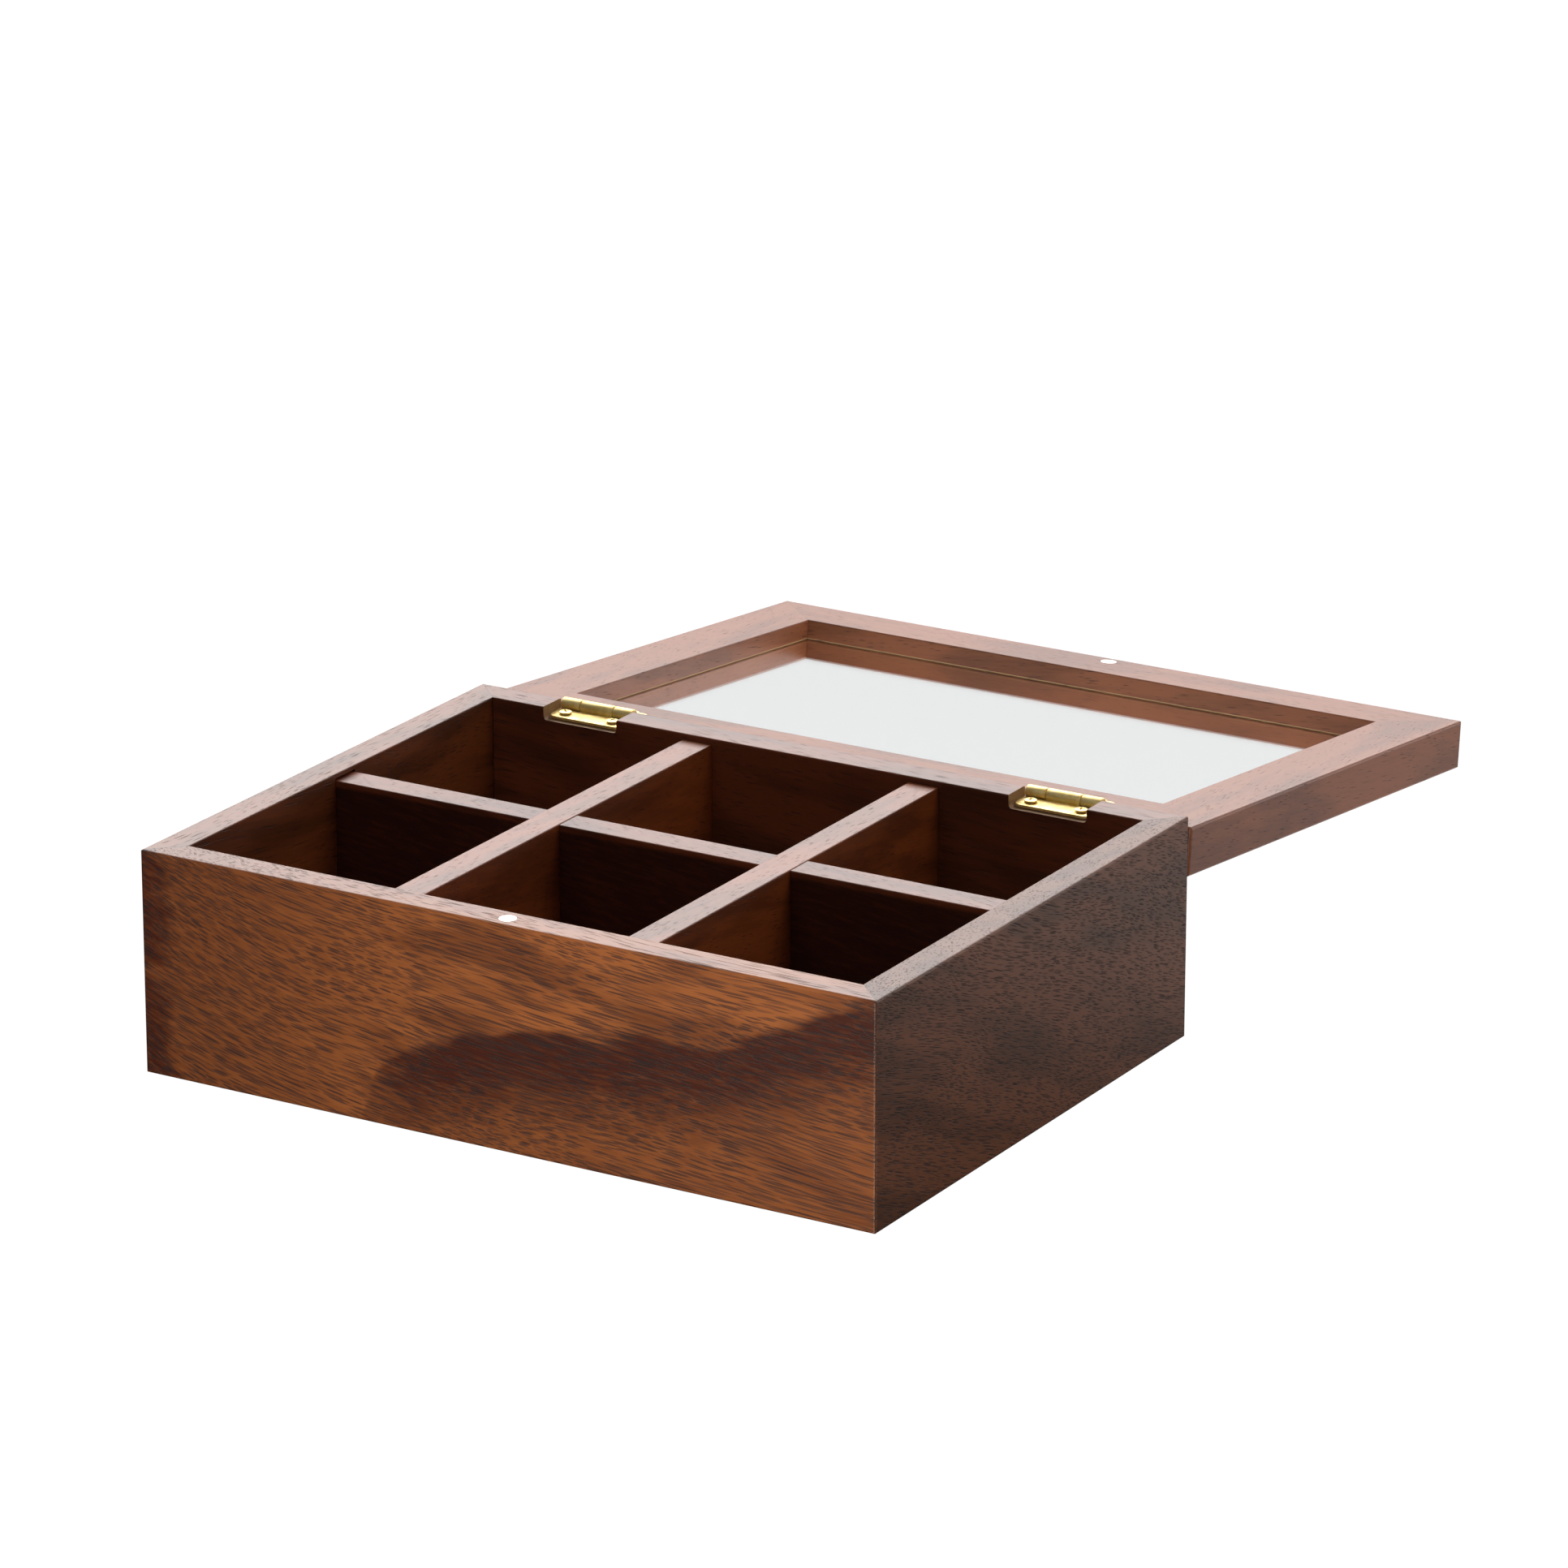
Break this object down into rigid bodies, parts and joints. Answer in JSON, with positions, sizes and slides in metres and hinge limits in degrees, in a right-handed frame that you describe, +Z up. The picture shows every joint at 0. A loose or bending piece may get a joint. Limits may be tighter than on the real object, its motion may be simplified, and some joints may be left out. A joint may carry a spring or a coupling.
{
  "type": "compartment box",
  "caption": "Wooden storage box with lift-over dividers, a hinged glazed lid, brass butt hinges and a magnetic closure.",
  "frame": {"origin": "middle of the underside of the box body, where it stands", "axes": "+Z up, the front faces -Y, +X to the right seen from the front; the open lid lies behind the box towards +Y"},
  "size_m": [0.29, 0.4287, 0.0812],
  "materials": {
    "box_wood": "satin oiled",
    "divider_wood": "satin oiled",
    "lid_wood": "satin oiled",
    "base_wood": "satin oiled",
    "glass": "clear polished",
    "hinge_brass": "bright plated",
    "magnet_nickel": "satin nickel plated"
  },
  "bodies": {
    "box": {"front_panel": "box_wood", "back_panel": "box_wood", "left_panel": "box_wood", "right_panel": "box_wood", "base_board": "base_wood", "left_divider": "divider_wood", "right_divider": "divider_wood", "cross_divider": "divider_wood", "box_magnet": "magnet_nickel", "left_hinge_box_leaf": "hinge_brass", "left_hinge_pin": "hinge_brass", "left_hinge_box_screws": "hinge_brass", "right_hinge_box_leaf": "hinge_brass", "right_hinge_pin": "hinge_brass", "right_hinge_box_screws": "hinge_brass"},
    "lid": {"lid_front_rail": "lid_wood", "lid_back_rail": "lid_wood", "lid_left_stile": "lid_wood", "lid_right_stile": "lid_wood", "lid_glass": "glass", "lid_magnet": "magnet_nickel", "left_hinge_lid_leaf": "hinge_brass", "left_hinge_lid_screws": "hinge_brass", "right_hinge_lid_leaf": "hinge_brass", "right_hinge_lid_screws": "hinge_brass"}
  },
  "joints": [
    {"name": "lid_hinge", "type": "hinge", "parent": "box", "child": "lid", "pos_m": [0, 0.10805, 0.07885], "axis": [1, 0, 0], "range_deg": [0, 185.76]}
  ]
}
